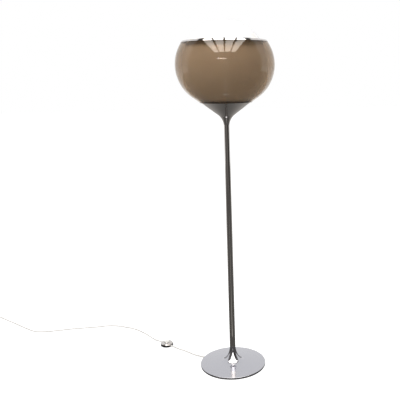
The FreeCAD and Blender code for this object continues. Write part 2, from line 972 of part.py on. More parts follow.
def coil_point(sweep):
    """One spiral in on the lower layer, a half turn that climbs, and one spiral out on the upper layer."""
    inward_rate = coil_pitch / 360
    climbed = min(max((sweep - layer_sweep) / 180, 0), 1)
    if sweep <= layer_sweep:
        radius = coil_outer - inward_rate * sweep
    elif sweep < layer_sweep + 180:
        radius = coil_inner - inward_rate * 180 * climbed * (1 - climbed)
    else:
        radius = coil_inner + inward_rate * (sweep - layer_sweep - 180)
    height = first_layer + layer_rise * (3 * climbed**2 - 2 * climbed**3)
    flat = polar((coil_x, coil_y), radius, coil_start_angle + sweep)
    return V(flat[0], flat[1], height)


def coil_way(sweep):
    small = 0.01
    return (coil_point(sweep + small) - coil_point(sweep - small)).normalize()


def coil_end(sweep, steps):
    """A point in line with the spiral's end, one cord diameter out for each step."""
    return coil_point(sweep) + coil_way(sweep) * (2 * cord_radius * steps)


def coil_gap():
    """The least space between one turn and any other, measured on points along the coil."""
    step = 3
    points = [coil_point(sweep) for sweep in range(0, int(coil_sweep) + 1, step)]
    apart = 90 // step
    nearest = min(
        (points[first] - points[second]).Length
        for first in range(len(points))
        for second in range(first + apart, len(points))
    )
    return nearest - 2 * cord_radius


def mains_coil():
    path = [Part.makeLine(coil_end(0, -1), coil_point(0))]
    quarter = 90
    count = int(round(coil_sweep / quarter))
    for index in range(count):
        start, end = index * quarter, (index + 1) * quarter
        path += biarc(coil_point(start), coil_way(start), coil_point(end), coil_way(end))
    path.append(Part.makeLine(coil_point(coil_sweep), coil_end(coil_sweep, 1)))
    print("coil: least gap to itself", round(coil_gap(), 2))
    return swept(path, cord_radius)


def cord_tie():
    """A strap round both layers of the coil."""
    half_width = (coil_outer - coil_inner) / 2 + cord_radius + coil_pitch / 4 + tie_play
    middle = coil_diameter / 2 - coil_pitch / 8
    low = first_layer - cord_radius - tie_play
    height = 2 * (cord_radius + tie_play) + layer_rise
    outer = block(
        (2 * (half_width + tie_thickness), tie_width, height + 2 * tie_thickness),
        (middle - half_width - tie_thickness, low - tie_thickness),
    )
    inner = block((2 * half_width, 2 * tie_width, height), (middle - half_width, low))
    long_edges = [edge for edge in outer.Edges if abs(edge.tangentAt(0).y) > 0.9]
    strap = outer.makeFillet(2.0, long_edges).cut(inner)
    return placed(strap, coil_x, coil_y, tie_angle)


# ---- Plug, built along X with its pins towards +X ----


def rounded_frame(width, height, x, centre):
    """A rectangle with round corners, square to X."""
    low_y, high_y = -width / 2, width / 2
    low_z, high_z = centre - height / 2, centre + height / 2
    corner = plug_corner
    spots = [
        ((high_y - corner, low_z + corner), -90),
        ((high_y - corner, high_z - corner), 0),
        ((low_y + corner, high_z - corner), 90),
        ((low_y + corner, low_z + corner), 180),
    ]
    edges, last = [], None
    for centre_point, start in spots:
        begin, mid, end = (polar(centre_point, corner, start + turn) for turn in (0, 45, 90))
        if last:
            edges.append(Part.makeLine(V(x, *last), V(x, *begin)))
        edges.append(Part.Arc(V(x, *begin), V(x, *mid), V(x, *end)).toShape())
        last = end
    edges.append(Part.makeLine(edges[-1].lastVertex().Point, edges[0].firstVertex().Point))
    return Part.Wire(Part.__sortEdges__(edges))


plug_height = plug_lift + plug_thickness / 2
relief_end = -plug_body_length - plug_relief_length


def in_plug(shape):
    """From the plug's own place, with its pins' face at X = 0, to the end of its cord."""
    last_but_one, last = plug_route[-2:]
    way = math.degrees(math.atan2(last[1] - last_but_one[1], last[0] - last_but_one[0]))
    spot = polar(last, -relief_end, way)
    return placed(shape, spot[0], spot[1], way)


def plug_body():
    """Moulded body that tapers to the cord, with its tapered relief."""
    body = Part.makeLoft(
        [
            rounded_frame(plug_width, plug_thickness, 0, plug_height),
            rounded_frame(plug_width, plug_thickness, -plug_body_length / 3, plug_height),
            rounded_frame(plug_neck_width, plug_neck_thickness, -plug_body_length, plug_height),
        ],
        True,
        True,
    )
    relief = taper(plug_relief_radius, plug_relief_root, relief_end, plug_corner - plug_body_length, plug_height)
    body = body.fuse(relief)
    for side in (-1, 1):
        seat = bar(pin_root_radius, -pin_seat, 0, plug_height)
        seat.translate(V(0, side * pin_spacing / 2, 0))
        body = body.cut(seat)
    return in_plug(body)


def plug_pins():
    pins = []
    for side in (-1, 1):
        straight_end = pin_length - pin_radius / 2
        root = bar(pin_root_radius, -pin_seat, pin_root_length, plug_height)
        round_part = bar(pin_radius, pin_root_length, straight_end, plug_height)
        tip = taper(pin_radius, pin_radius / 2, straight_end, pin_length, plug_height)
        pin = root.fuse([round_part, tip])
        pin.translate(V(0, side * pin_spacing / 2, 0))
        pins.append(pin)
    return in_plug(Part.makeCompound(pins))


# ---- Routes on the floor, as the cord lies: (x, y, height of its middle) ----

floor_level = cord_radius + 0.05


def out_from_axis(distance, height):
    spot = polar((0, 0), distance, exit_angle)
    return spot[0], spot[1], height


def beside_switch(distance, height):
    spot = polar((switch_x, switch_y), distance, switch_turn)
    return spot[0], spot[1], height


switch_route = [
    out_from_axis(foot_radius + bush_reach, exit_height),
    out_from_axis(foot_radius + bush_reach + 20, exit_height),
    (-197, 111, floor_level),
    (-227, 140, floor_level),
    (-262, 164, floor_level),
    beside_switch(-sleeve_tip - 22, entry_height),
    beside_switch(-sleeve_tip, entry_height),
]

mains_route = [
    beside_switch(sleeve_tip, entry_height),
    beside_switch(sleeve_tip + 18, entry_height),
    (-386, 273, floor_level),
    (-414, 312, floor_level),
    (-456, 364, floor_level),
    (-503, 409, floor_level),
    (-559, 439, floor_level),
    (-613, 460, floor_level),
    (-656, 463, floor_level),
    (-708, 451, floor_level),
    (-777, 446, floor_level),
    (-845, 439, floor_level),
    (-893, 428, floor_level),
    (-942, 420, floor_level),
    (-985, 417, floor_level),
    (-1024, 426, floor_level),
    (-1060, 453, floor_level),
    (-1093, 481, floor_level),
    (-1129, 511, floor_level),
    (-1166, 545, floor_level),
    (-1212, 579, floor_level),
    (-1255, 619, floor_level),
    tuple(coil_end(0, -5)),
    tuple(coil_end(0, -1)),
]

coil_tail = coil_end(coil_sweep, 1)
plug_route = [
    tuple(coil_tail),
    tuple(coil_end(coil_sweep, 4)),
    (-1343.0, 684.5, 6.4),
    (-1366.0, 698.5, floor_level),
    (-1392.0, 709.5, floor_level),
    (-1415.5, 716.0, plug_height),
    (-1430.0, 718.5, plug_height),
]


def build():
    os.makedirs("parts", exist_ok=True)
    save("base_cover", base_cover())
    save("edge_ring", edge_ring())
    save("base_weight", base_weight())
    save("base_felt", base_felt())
    save("cord_grommet", cord_grommet())
    save("cord_stop", cord_stop())
    save("foot_nipple", foot_nipple())
    save("foot_washer", foot_washer())
    save("foot_nut", foot_nut())
    save("stem_tube", stem_tube())
    save("stem_foot_plug", stem_plug(stem_foot, stem_foot + plug_length, foot_wall))
    save("stem_head_plug", stem_plug(stem_top, stem_top - plug_length, cup_wall))
    save("stem_lead", stem_lead())
    save("cup", cup())
    save("head_nipple", head_nipple())
    save("carrier_flange", carrier_flange())
    save("shade_washer", ring(nipple_radius + hole_play, shade_washer_radius, carrier_high, bowl_floor))
    save("smoked_shade", smoked_shade())
    save("globe_spacer", globe_spacer())
    save("lower_diffuser", lower_diffuser())
    save("clamp_washer", ring(nipple_radius + hole_play, clamp_washer_radius, clamp_floor, nut_floor))
    save("clamp_nut", nut(nut_across, nipple_radius + thread_play, nut_floor, holder_floor))
    save("rim_ring", rim_ring())
    save("upper_diffuser", upper_diffuser())
    save("holder_cap", holder_cap())
    save("holder_insert", holder_insert())
    save("holder_contacts", holder_contacts())
    save("holder_sleeve", holder_sleeve())
    save("holder_shell", holder_shell())
    save("bulb_cap", bulb_cap())
    save("bulb_glass", bulb_glass())
    save("switch_base", switch_base())
    save("switch_feet", switch_feet())
    save("switch_screws", switch_screws())
    save("switch_cover", switch_cover())
    save("switch_button", switch_button())
    save("switch_spring", switch_spring())
    save("switch_leads", switch_leads())
    save("switch_sleeves", switch_sleeves())
    save("switch_contacts", switch_contacts())
    save("switch_cord", free_cord("switch_cord", switch_route))
    save("mains_cord", free_cord("mains_cord", mains_route))
    save("mains_coil", mains_coil())
    save("cord_tie", cord_tie())
    save("plug_cord", free_cord("plug_cord", plug_route))
    save("plug_body", plug_body())
    save("plug_pins", plug_pins())


build()
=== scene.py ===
import bpy
import json
import math
from mathutils import Euler, Matrix, Vector


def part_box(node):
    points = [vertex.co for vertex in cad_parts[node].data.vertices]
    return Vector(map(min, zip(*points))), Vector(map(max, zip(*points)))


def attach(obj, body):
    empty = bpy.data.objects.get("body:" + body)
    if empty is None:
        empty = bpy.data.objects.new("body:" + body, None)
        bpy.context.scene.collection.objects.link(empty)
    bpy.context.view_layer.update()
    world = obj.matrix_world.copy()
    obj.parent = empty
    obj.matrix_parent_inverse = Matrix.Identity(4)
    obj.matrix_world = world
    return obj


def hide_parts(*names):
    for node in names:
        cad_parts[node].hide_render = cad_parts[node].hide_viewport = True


# floor lamp: spun trumpet foot, thin stem, smoked bowl round an opal globe, cord with a foot switch
# metres throughout, turned pieces keep the sections of the solids that they stand for

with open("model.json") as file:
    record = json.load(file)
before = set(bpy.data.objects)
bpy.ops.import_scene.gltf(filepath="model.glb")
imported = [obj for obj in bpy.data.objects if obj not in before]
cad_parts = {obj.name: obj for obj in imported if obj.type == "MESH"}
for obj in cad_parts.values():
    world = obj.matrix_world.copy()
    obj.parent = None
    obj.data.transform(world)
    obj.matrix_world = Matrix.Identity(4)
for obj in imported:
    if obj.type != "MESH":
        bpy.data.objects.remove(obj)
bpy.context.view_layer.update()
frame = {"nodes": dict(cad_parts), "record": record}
bpy.ops.object.select_all(action="DESELECT")
print("frame loaded:", len(frame["nodes"]), "nodes")


def polar(centre, radius, degrees):
    turn = math.radians(degrees)
    return centre[0] + radius * math.cos(turn), centre[1] + radius * math.sin(turn)


def arcPoints(centre, radius, start, end, steps):
    return [polar(centre, radius, start + (end - start) * i / steps) for i in range(steps + 1)]


def levelAngle(radius, rise):
    return math.degrees(math.asin(rise / radius))


def asPiece(piece, name, body, *nodes):
    piece.name = name
    piece.data.name = name
    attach(piece, body)
    if nodes:
        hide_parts(*nodes)
    return piece


def paint(piece, material):
    piece.data.materials.clear()
    piece.data.materials.append(material)


turning = {"steps": 160, "seed": 0.001, "weld": 0.000004, "sharpAngle": 32}


def turnPiece(name, body, section, *nodes):
    # one vertex drawn out along the section, then spun round the lamp's axis
    bpy.ops.object.select_all(action="DESELECT")
    first = (section[0][0], 0, section[0][1])
    bpy.ops.mesh.primitive_plane_add(size=turning["seed"], location=first)
    piece = bpy.context.object
    bpy.ops.object.transform_apply(location=True, rotation=True, scale=True)
    bpy.ops.object.mode_set(mode="EDIT")
    bpy.ops.mesh.select_all(action="SELECT")
    bpy.ops.mesh.merge(type="CENTER")
    for here, there in zip(section, section[1:]):
        step = (there[0] - here[0], 0, there[1] - here[1])
        bpy.ops.mesh.extrude_vertices_move(TRANSFORM_OT_translate={"value": step})
    bpy.ops.mesh.select_all(action="SELECT")
    bpy.ops.mesh.spin(steps=turning["steps"], angle=2 * math.pi, center=(0, 0, 0), axis=(0, 0, 1))
    bpy.ops.mesh.select_all(action="SELECT")
    bpy.ops.mesh.remove_doubles(threshold=turning["weld"])
    bpy.ops.mesh.select_all(action="SELECT")
    bpy.ops.mesh.normals_make_consistent(inside=False)
    bpy.ops.object.mode_set(mode="OBJECT")
    bpy.ops.object.shade_smooth_by_angle(angle=math.radians(turning["sharpAngle"]))
    return asPiece(piece, name, body, *nodes)


def softenNode(node, body):
    # a welded copy of a solid, with smooth sides
    bpy.ops.object.select_all(action="DESELECT")
    source = frame["nodes"][node]
    piece = bpy.data.objects.new(node + "_smooth", source.data.copy())
    bpy.context.scene.collection.objects.link(piece)
    bpy.context.view_layer.objects.active = piece
    piece.select_set(True)
    bpy.ops.object.mode_set(mode="EDIT")
    bpy.ops.mesh.select_all(action="SELECT")
    bpy.ops.mesh.remove_doubles(threshold=turning["weld"])
    bpy.ops.object.mode_set(mode="OBJECT")
    bpy.ops.object.shade_smooth_by_angle(angle=math.radians(turning["sharpAngle"]))
    return asPiece(piece, node + "_smooth", body, node)


# finishes

def newFinish(name, **sockets):
    material = bpy.data.materials.new(name)
    material.use_nodes = True
    shader = material.node_tree.nodes["Principled BSDF"]
    for socket, value in sockets.items():
        shader.inputs[socket.replace("_", " ")].default_value = value
    return material, material.node_tree, shader


def objectNoise(tree, scale, detail=4.0, stretch=(1, 1, 1)):
    spot = tree.nodes.new("ShaderNodeTexCoord")
    mapping = tree.nodes.new("ShaderNodeMapping")
    mapping.inputs["Scale"].default_value = stretch
    noise = tree.nodes.new("ShaderNodeTexNoise")
    noise.inputs["Scale"].default_value = scale
    noise.inputs["Detail"].default_value = detail
    tree.links.new(spot.outputs["Object"], mapping.inputs["Vector"])
    tree.links.new(mapping.outputs["Vector"], noise.inputs["Vector"])
    return noise.outputs["Fac"]


def rampOf(tree, value, dark, light, low=0.3, high=0.7):
    ramp = tree.nodes.new("ShaderNodeValToRGB")
    ramp.color_ramp.elements[0].position = low
    ramp.color_ramp.elements[0].color = (*dark, 1)
    ramp.color_ramp.elements[1].position = high
    ramp.color_ramp.elements[1].color = (*light, 1)
    tree.links.new(value, ramp.inputs["Fac"])
    return ramp.outputs["Color"]


def spreadOf(tree, value, low, high):
    spread = tree.nodes.new("ShaderNodeMapRange")
    spread.inputs["To Min"].default_value = low
    spread.inputs["To Max"].default_value = high
    tree.links.new(value, spread.inputs["Value"])
    return spread.outputs["Result"]


def addBump(tree, shader, value, strength, distance):
    bump = tree.nodes.new("ShaderNodeBump")
    bump.inputs["Strength"].default_value = strength
    bump.inputs["Distance"].default_value = distance
    tree.links.new(value, bump.inputs["Height"])
    tree.links.new(bump.outputs["Normal"], shader.inputs["Normal"])


grain = {"patch": 40, "patchDetail": 2.0, "relief": 0.4}


def grainyFinish(name, dark, light, scale, rough, bumpHeight, **sockets):
    # colour from a broad noise, gloss and relief from a fine one
    material, tree, shader = newFinish(name, **sockets)
    fine = objectNoise(tree, scale)
    broad = objectNoise(tree, scale / grain["patch"], grain["patchDetail"])
    tree.links.new(rampOf(tree, broad, dark, light), shader.inputs["Base Color"])
    tree.links.new(spreadOf(tree, fine, *rough), shader.inputs["Roughness"])
    addBump(tree, shader, fine, grain["relief"], bumpHeight)
    return material


def polishedChrome():
    look = {
        "tone": (0.60, 0.57, 0.55), "haze": (0.62, 0.60, 0.585), "rough": (0.045, 0.10),
        "wipe": 35.0, "detail": 5.0, "stretch": (1, 1, 0.25),
    }
    material, tree, shader = newFinish("polishedChrome", Metallic=1.0)
    wipe = objectNoise(tree, look["wipe"], look["detail"], look["stretch"])
    tree.links.new(rampOf(tree, wipe, look["tone"], look["haze"]), shader.inputs["Base Color"])
    tree.links.new(spreadOf(tree, wipe, *look["rough"]), shader.inputs["Roughness"])
    return material


def radiusFromAxis(tree):
    spot = tree.nodes.new("ShaderNodeTexCoord")
    flat = tree.nodes.new("ShaderNodeVectorMath")
    flat.operation = "MULTIPLY"
    flat.inputs[1].default_value = (1, 1, 0)
    length = tree.nodes.new("ShaderNodeVectorMath")
    length.operation = "LENGTH"
    tree.links.new(spot.outputs["Object"], flat.inputs[0])
    tree.links.new(flat.outputs["Vector"], length.inputs[0])
    return length.outputs["Value"]


def satinChrome():
    # fine rings left by spinning, so the gloss fans out along the radius
    look = {
        "tone": (0.47, 0.47, 0.505), "light": (0.54, 0.54, 0.575), "rough": (0.10, 0.17),
        "rings": 2600.0, "detail": 3.0, "relief": 0.12, "bumpHeight": 0.00004,
    }
    material, tree, shader = newFinish("satinChrome", Metallic=1.0, Anisotropic=0.6)
    rings = tree.nodes.new("ShaderNodeTexNoise")
    rings.noise_dimensions = "1D"
    rings.inputs["Scale"].default_value = look["rings"]
    rings.inputs["Detail"].default_value = look["detail"]
    tree.links.new(radiusFromAxis(tree), rings.inputs["W"])
    colour = rampOf(tree, rings.outputs["Fac"], look["tone"], look["light"])
    tree.links.new(colour, shader.inputs["Base Color"])
    tree.links.new(spreadOf(tree, rings.outputs["Fac"], *look["rough"]), shader.inputs["Roughness"])
    tangent = tree.nodes.new("ShaderNodeTangent")
    tangent.direction_type = "RADIAL"
    tangent.axis = "Z"
    tree.links.new(tangent.outputs["Tangent"], shader.inputs["Tangent"])
    addBump(tree, shader, rings.outputs["Fac"], look["relief"], look["bumpHeight"])
    return material


def smokedAcrylic():
    # tinted all through: what shows behind is dimmed at each face, and the polish adds its own reflections
    look = {
        "tint": (0.775, 0.705, 0.625), "body": (0.10, 0.06, 0.035), "haze": 0.06, "front": 0.04, "edge": 0.75,
        "fall": 5.0, "polish": 0.015, "swirl": 18.0, "detail": 6.0, "rough": (0.012, 0.035),
    }
    material, tree, shader = newFinish("smokedAcrylic", IOR=1.49)
    shader.inputs["Base Color"].default_value = (*look["body"], 1)
    swirl = objectNoise(tree, look["swirl"], look["detail"])
    tree.links.new(spreadOf(tree, swirl, *look["rough"]), shader.inputs["Roughness"])
    clear = tree.nodes.new("ShaderNodeBsdfTransparent")
    clear.inputs["Color"].default_value = (*look["tint"], 1)
    polish = tree.nodes.new("ShaderNodeBsdfGlossy")
    polish.inputs["Roughness"].default_value = look["polish"]
    slant = tree.nodes.new("ShaderNodeLayerWeight")
    slant.inputs["Blend"].default_value = 0.5
    fall = tree.nodes.new("ShaderNodeMath")
    fall.operation = "POWER"
    fall.inputs[1].default_value = look["fall"]
    share = tree.nodes.new("ShaderNodeMath")
    share.operation = "MULTIPLY_ADD"
    share.inputs[1].default_value = look["edge"]
    share.inputs[2].default_value = look["front"]
    gloss = tree.nodes.new("ShaderNodeMixShader")
    body = tree.nodes.new("ShaderNodeMixShader")
    body.inputs["Fac"].default_value = look["haze"]
    tree.links.new(slant.outputs["Facing"], fall.inputs[0])
    tree.links.new(fall.outputs["Value"], share.inputs[0])
    tree.links.new(share.outputs["Value"], gloss.inputs["Fac"])
    tree.links.new(clear.outputs["BSDF"], gloss.inputs[1])
    tree.links.new(polish.outputs["BSDF"], gloss.inputs[2])
    tree.links.new(gloss.outputs["Shader"], body.inputs[1])
    tree.links.new(shader.outputs["BSDF"], body.inputs[2])
    tree.links.new(body.outputs["Shader"], tree.nodes["Material Output"].inputs["Surface"])
    return material


def opalAcrylic():
    look = {
        "tone": (0.90, 0.885, 0.86), "light": (0.94, 0.93, 0.915), "rough": (0.22, 0.30),
        "depth": (0.006, 0.005, 0.004), "cloud": 9.0, "detail": 5.0,
    }
    coat = {"Coat_Weight": 0.25, "Coat_Roughness": 0.1, "Subsurface_Weight": 0.15}
    material, tree, shader = newFinish("opalAcrylic", **coat)
    shader.inputs["Subsurface Radius"].default_value = look["depth"]
    cloud = objectNoise(tree, look["cloud"], look["detail"])
    tree.links.new(rampOf(tree, cloud, look["tone"], look["light"]), shader.inputs["Base Color"])
    tree.links.new(spreadOf(tree, cloud, *look["rough"]), shader.inputs["Roughness"])
    return material


grainyLooks = {
    "cord_plastic": {
        "name": "cordSheath", "dark": (0.70, 0.67, 0.63), "light": (0.76, 0.735, 0.70),
        "scale": 900.0, "rough": (0.38, 0.55), "bumpHeight": 0.000006,
    },
    "black_rubber": {
        "name": "blackRubber", "dark": (0.018, 0.016, 0.015), "light": (0.035, 0.032, 0.03),
        "scale": 700.0, "rough": (0.55, 0.75), "bumpHeight": 0.00005,
    },
    "cast_iron": {
        "name": "castIron", "dark": (0.08, 0.08, 0.085), "light": (0.14, 0.13, 0.13),
        "scale": 420.0, "rough": (0.6, 0.85), "bumpHeight": 0.0003, "Metallic": 0.6,
    },
    "felt": {
        "name": "woolFelt", "dark": (0.035, 0.035, 0.04), "light": (0.06, 0.06, 0.065),
        "scale": 1500.0, "rough": (0.9, 1.0), "bumpHeight": 0.0003, "Sheen_Weight": 0.5,
    },
    "zinc_steel": {
        "name": "zincSteel", "dark": (0.50, 0.50, 0.48), "light": (0.60, 0.60, 0.57),
        "scale": 600.0, "rough": (0.3, 0.45), "bumpHeight": 0.00002, "Metallic": 1.0,
    },
    "brass": {
        "name": "turnedBrass", "dark": (0.70, 0.50, 0.22), "light": (0.80, 0.60, 0.30),
        "scale": 800.0, "rough": (0.2, 0.35), "bumpHeight": 0.00002, "Metallic": 1.0,
    },
    "white_plastic": {
        "name": "whitePlastic", "dark": (0.80, 0.78, 0.73), "light": (0.86, 0.85, 0.81),
        "scale": 1100.0, "rough": (0.25, 0.4), "bumpHeight": 0.00002,
    },
    "black_plastic": {
        "name": "blackPlastic", "dark": (0.014, 0.013, 0.013), "light": (0.026, 0.024, 0.024),
        "scale": 1300.0, "rough": (0.35, 0.5), "bumpHeight": 0.00003,
    },
    "frosted_glass": {
        "name": "frostedGlass", "dark": (0.88, 0.88, 0.86), "light": (0.92, 0.92, 0.90),
        "scale": 500.0, "rough": (0.4, 0.5), "bumpHeight": 0.00001,
    },
}
finishes = {
    "chrome": polishedChrome(),
    "satin_chrome": satinChrome(),
    "smoked_acrylic": smokedAcrylic(),
    "opal_acrylic": opalAcrylic(),
}
for slotName, look in grainyLooks.items():
    finishes[slotName] = grainyFinish(**look)
for part in frame["record"]["subparts"]:
    paint(frame["nodes"][part["node"]], finishes[part["material_slot"]])
print("finishes:", len(finishes))


def finished(piece, slot):
    paint(piece, finishes[slot])
    return piece


# foot: spun cover
foot = {
    "skirt": 0.0011, "lip": 0.001, "slope": 5.0, "hip": 0.035, "flare": 0.100,
    "flareSweep": 35.0, "wall": 0.0012, "arcSteps": 26, "lipSteps": 6,
}
stemLow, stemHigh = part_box("stem_tube")
stemRadius = stemHigh.x


def footCover():
    low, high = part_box("base_cover")
    slope, sweep = math.radians(foot["slope"]), math.radians(foot["flareSweep"])
    footTan = math.tan(slope)
    lip = (high.x - foot["lip"], low.z + foot["skirt"])
    coneOuter = polar(lip, foot["lip"], 90 - foot["slope"])
    hipEnd = stemRadius + foot["flare"] * (1 - math.cos(sweep))
    hipEnd += foot["hip"] * (math.cos(sweep) - math.sin(slope))
    hipHeight = coneOuter[1] + (coneOuter[0] - hipEnd) * footTan
    hip = (hipEnd + foot["hip"] * math.sin(slope), hipHeight + foot["hip"] * math.cos(slope))
    flare = (stemRadius + foot["flare"], high.z)
    hipInside, flareInside = foot["hip"] + foot["wall"], foot["flare"] + foot["wall"]
    innerEdge = high.x - foot["wall"]
    underHip = polar(hip, hipInside, 270 - foot["slope"])
    steps = foot["arcSteps"]
    section = [(high.x, low.z)]
    section += arcPoints(lip, foot["lip"], 0, 90 - foot["slope"], foot["lipSteps"])
    section += arcPoints(hip, foot["hip"], 270 - foot["slope"], 180 + foot["flareSweep"], steps)
    section += arcPoints(flare, foot["flare"], 180 + foot["flareSweep"], 180, steps)[1:]
    section += arcPoints(flare, flareInside, 180, 180 + foot["flareSweep"], steps)
    section += arcPoints(hip, hipInside, 180 + foot["flareSweep"], 270 - foot["slope"], steps)[1:]
    section += [(innerEdge, underHip[1] - (innerEdge - underHip[0]) * footTan), (innerEdge, low.z)]
    section.append(section[0])
    return finished(turnPiece("foot_cover", "lamp", section, "base_cover"), "satin_chrome")


# stem: drawn tube
stem = {"wall": 0.001, "break": 0.0002}


def stemTube():
    inside = stemRadius - stem["wall"]
    edge = stem["break"]
    section = [
        (inside, stemLow.z), (stemRadius - edge, stemLow.z), (stemRadius, stemLow.z + edge),
        (stemRadius, stemHigh.z - edge), (stemRadius - edge, stemHigh.z), (inside, stemHigh.z),
    ]
    section.append(section[0])
    return finished(turnPiece("stem", "lamp", section, "stem_tube"), "chrome")


# head: cup, smoked bowl, opal globe, rim ring and dome
bowl = {"arc": 0.1584, "offset": 0.0446, "slope": 54.9, "wall": 0.003, "drop": 0.095, "steps": 56}
cup = {"play": 0.0003, "wall": 0.001, "throat": 0.055, "rim": 0.109, "steps": 24}
globe = {"wall": 0.0025, "floor": 0.034, "steps": 72}
rimRing = {
    "wall": 0.001, "skirt": 0.0055, "play": 0.0002, "reach": 0.004, "bead": 0.003, "domePlay": 0.0006,
    "steps": 6,
}
hole = 0.0054
bowlLow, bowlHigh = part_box("smoked_shade")
bowlCentre = (bowl["offset"], bowlHigh.z - bowl["drop"])
globeCentre = (0.0, bowlCentre[1])
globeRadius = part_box("upper_diffuser")[1].z - globeCentre[1]
bowlTan = math.tan(math.radians(bowl["slope"]))


def coneRadius(offset, height):
    touch = polar(bowlCentre, offset, -bowl["slope"])
    return touch[0] - (touch[1] - height) * bowlTan


def smokedBowl():
    inside = bowl["arc"] - bowl["wall"]
    innerFloor = bowlLow.z + bowl["wall"]
    outerRim, innerRim = levelAngle(bowl["arc"], bowl["drop"]), levelAngle(inside, bowl["drop"])
    section = arcPoints(bowlCentre, bowl["arc"], outerRim, -bowl["slope"], bowl["steps"])
    section += [
        (coneRadius(bowl["arc"], bowlLow.z), bowlLow.z), (hole, bowlLow.z),
        (hole, innerFloor), (coneRadius(inside, innerFloor), innerFloor),
    ]
    section += arcPoints(bowlCentre, inside, -bowl["slope"], innerRim, bowl["steps"])
    section.append(section[0])
    return finished(turnPiece("smoked_bowl", "lamp", section, "smoked_shade"), "smoked_acrylic")


def chromedCup():
    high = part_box("cup")[1].z
    inside = bowl["arc"] + cup["play"]
    throat = (stemRadius + cup["throat"], stemHigh.z)
    section = arcPoints(throat, cup["throat"], 180, 180 - bowl["slope"], cup["steps"])
    section += [(cup["rim"], high), (coneRadius(inside, high), high)]
    section += arcPoints(throat, cup["throat"] + cup["wall"], 180 - bowl["slope"], 180, cup["steps"])
    section.append(section[0])
    return finished(turnPiece("chromed_cup", "lamp", section, "cup"), "chrome")


def opalGlobe():
    low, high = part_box("lower_diffuser")
    inside = globeRadius - globe["wall"]
    rise, clampFloor = high.z - globeCentre[1], low.z + globe["wall"]
    floorAngle = -math.degrees(math.acos(globe["floor"] / globeRadius))
    innerFloor = -levelAngle(inside, globeCentre[1] - clampFloor)
    section = arcPoints(globeCentre, globeRadius, levelAngle(globeRadius, rise), floorAngle, globe["steps"])
    section += [(hole, low.z), (hole, clampFloor)]
    section += arcPoints(globeCentre, inside, innerFloor, levelAngle(inside, rise), globe["steps"])
    section.append(section[0])
    return finished(turnPiece("opal_globe", "lamp", section, "lower_diffuser"), "opal_acrylic")


def opalDome():
    inside = globeRadius - globe["wall"]
    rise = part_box("upper_diffuser")[0].z - globeCentre[1]
    section = arcPoints(globeCentre, globeRadius, levelAngle(globeRadius, rise), 90, globe["steps"])
    section += arcPoints(globeCentre, inside, 90, levelAngle(inside, rise), globe["steps"])
    section.append(section[0])
    return finished(turnPiece("opal_dome", "dome", section, "upper_diffuser"), "opal_acrylic")


def chromedRing():
    inner = bowl["arc"] + rimRing["play"]
    outer = inner + rimRing["wall"]
    topRise, skirtRise = bowl["drop"] + rimRing["wall"], bowl["drop"] - rimRing["skirt"]
    floor, beadTop = bowlHigh.z + rimRing["wall"], bowlHigh.z + rimRing["wall"] + rimRing["bead"]
    domeFoot = math.sqrt(globeRadius**2 - topRise**2)
    ledge = math.sqrt((globeRadius - globe["wall"]) ** 2 - topRise**2) - rimRing["reach"]
    bead = domeFoot + rimRing["domePlay"]
    section = [
        (ledge, bowlHigh.z), (ledge, floor), (bead, floor), (bead, beadTop),
        (bead + rimRing["wall"], beadTop), (bead + rimRing["wall"], floor),
    ]
    outerSweep = levelAngle(outer, topRise), levelAngle(outer, skirtRise)
    innerSweep = levelAngle(inner, skirtRise), levelAngle(inner, bowl["drop"])
    section += arcPoints(bowlCentre, outer, *outerSweep, rimRing["steps"])
    section += arcPoints(bowlCentre, inner, *innerSweep, rimRing["steps"])
    section.append(section[0])
    return finished(turnPiece("chromed_ring", "lamp", section, "rim_ring"), "chrome")


footCover()
stemTube()
smokedBowl()
chromedCup()
opalGlobe()
opalDome()
chromedRing()
print("turned pieces done")

# smaller pieces: welded copies with smooth sides
smoothNodes = {
    "edge_ring": ("lamp", "black_rubber"), "cord_grommet": ("lamp", "cord_plastic"),
    "switch_base": ("lamp", "black_plastic"), "switch_cover": ("lamp", "chrome"),
    "switch_button": ("button", "white_plastic"), "switch_sleeves": ("lamp", "cord_plastic"),
    "switch_feet": ("lamp", "black_rubber"), "cord_tie": ("lamp", "black_plastic"),
    "plug_body": ("lamp", "white_plastic"), "plug_pins": ("lamp", "brass"),
    "bulb_glass": ("bulb", "frosted_glass"), "bulb_cap": ("bulb", "zinc_steel"),
    "holder_shell": ("lamp", "white_plastic"), "holder_cap": ("lamp", "white_plastic"),
    "base_weight": ("lamp", "cast_iron"),
}
for node, (body, slotName) in smoothNodes.items():
    finished(softenNode(node, body), slotName)

# cords
cordLook = {
    "radius": 0.0027, "exitAngle": 153.0, "exitHeight": 0.00345, "tip": 0.170, "entryHeight": 0.0064,
    "sleeveTip": 0.039, "floor": 0.00275, "resolution": 8, "bevel": 5,
    "coilExit": 0.0064, "plugHeight": 0.0070,
}
switchSpot = {"x": -0.320, "y": 0.213, "turn": 138.0}
coil = {
    "x": -1.3275, "y": 0.625, "start": 51.0, "diameter": 0.0595, "turns": 2.25, "pitch": 0.006,
    "rise": 0.006, "height": 0.0038, "step": 20, "nudge": 0.01,
}


def outFromAxis(distance, height):
    return (*polar((0, 0), distance, cordLook["exitAngle"]), height)


def besideSwitch(distance, height):
    return (*polar((switchSpot["x"], switchSpot["y"]), distance, switchSpot["turn"]), height)


